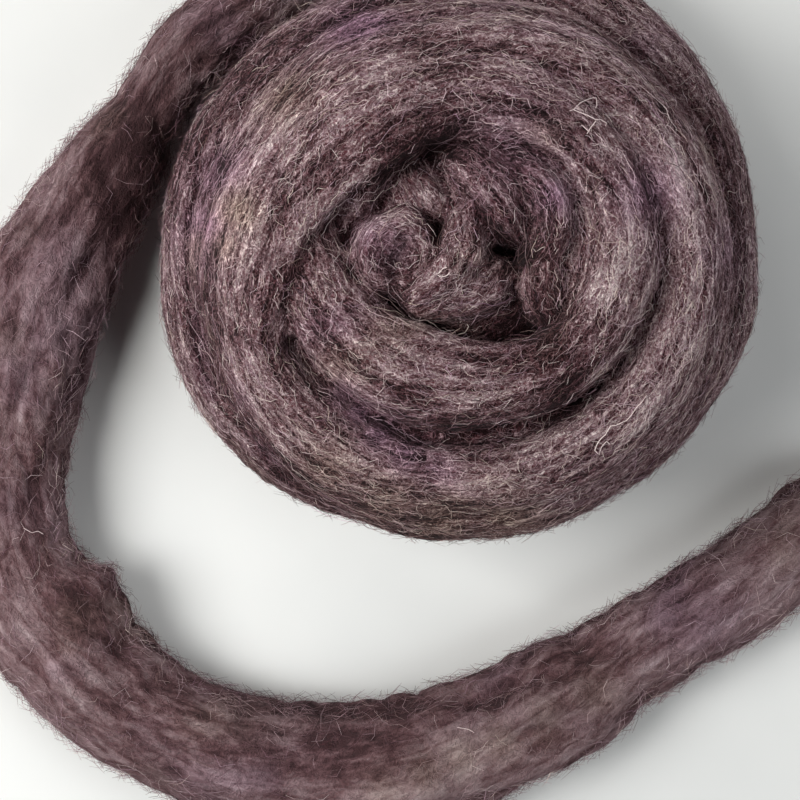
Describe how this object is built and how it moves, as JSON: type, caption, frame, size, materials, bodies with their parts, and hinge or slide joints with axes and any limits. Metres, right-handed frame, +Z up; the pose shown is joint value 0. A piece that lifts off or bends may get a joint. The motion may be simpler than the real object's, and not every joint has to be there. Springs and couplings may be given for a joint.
{
  "type": "wool roving ball",
  "caption": "Hand-wound ball of heathered wool roving with its loose end lying round it on the surface.",
  "frame": {"origin": "centre of the flat spot that the ball rests on", "axes": "+Z up; the loose end leaves at the back (+Y), runs down the left (-X) and across the front (-Y) to the right"},
  "size_m": [0.2557, 0.2369, 0.0894],
  "materials": {
    "wool": "matt heathered plum-grey wool, combed and fuzzy"
  },
  "bodies": {
    "root": {"ball": "wool", "loose_end": "wool"}
  },
  "joints": []
}
